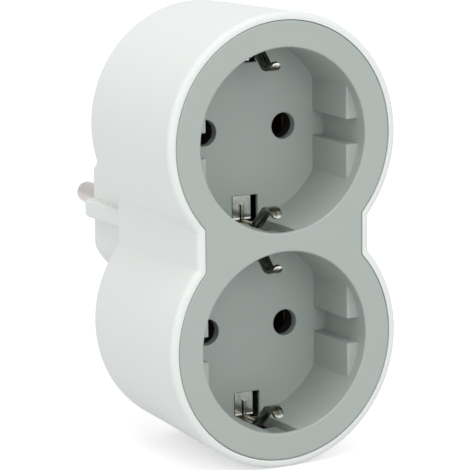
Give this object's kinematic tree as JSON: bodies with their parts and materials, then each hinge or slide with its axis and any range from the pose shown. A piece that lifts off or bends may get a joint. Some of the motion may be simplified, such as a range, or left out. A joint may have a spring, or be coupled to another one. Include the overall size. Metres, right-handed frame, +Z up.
{
  "type": "multi socket adapter",
  "caption": "Plug-in adapter with recessed round earthed sockets one above the other in a waisted white shell, and a round earthed pin plug behind.",
  "frame": {"origin": "centre of the plug's face, midway between its pins", "axes": "+Y out along the plug pins, towards the wall; +Z up; the sockets face -Y"},
  "size_m": [0.054, 0.0769, 0.0968],
  "materials": {
    "white_shell": "satin",
    "grey_insert": "satin",
    "nickel_pin": "satin",
    "nickel_strip": "satin",
    "brass_contact": "satin",
    "steel_fastener": "satin",
    "inner_moulding": "matte"
  },
  "bodies": {
    "root": {"housing_shell": "white_shell", "socket_insert": "grey_insert", "left_plug_pin": "nickel_pin", "right_plug_pin": "nickel_pin", "upper_earth_bow": "nickel_strip", "lower_earth_bow": "nickel_strip", "upper_plug_earth_strip": "nickel_strip", "lower_plug_earth_strip": "nickel_strip", "line_bar": "brass_contact", "neutral_bar": "brass_contact", "earth_bar": "brass_contact", "upper_left_socket_clip": "brass_contact", "upper_right_socket_clip": "brass_contact", "lower_left_socket_clip": "brass_contact", "lower_right_socket_clip": "brass_contact", "rear_screws": "steel_fastener", "earth_rivets": "steel_fastener", "pin_holder": "inner_moulding", "upper_contact_carrier": "inner_moulding", "lower_contact_carrier": "inner_moulding"}
  },
  "joints": []
}
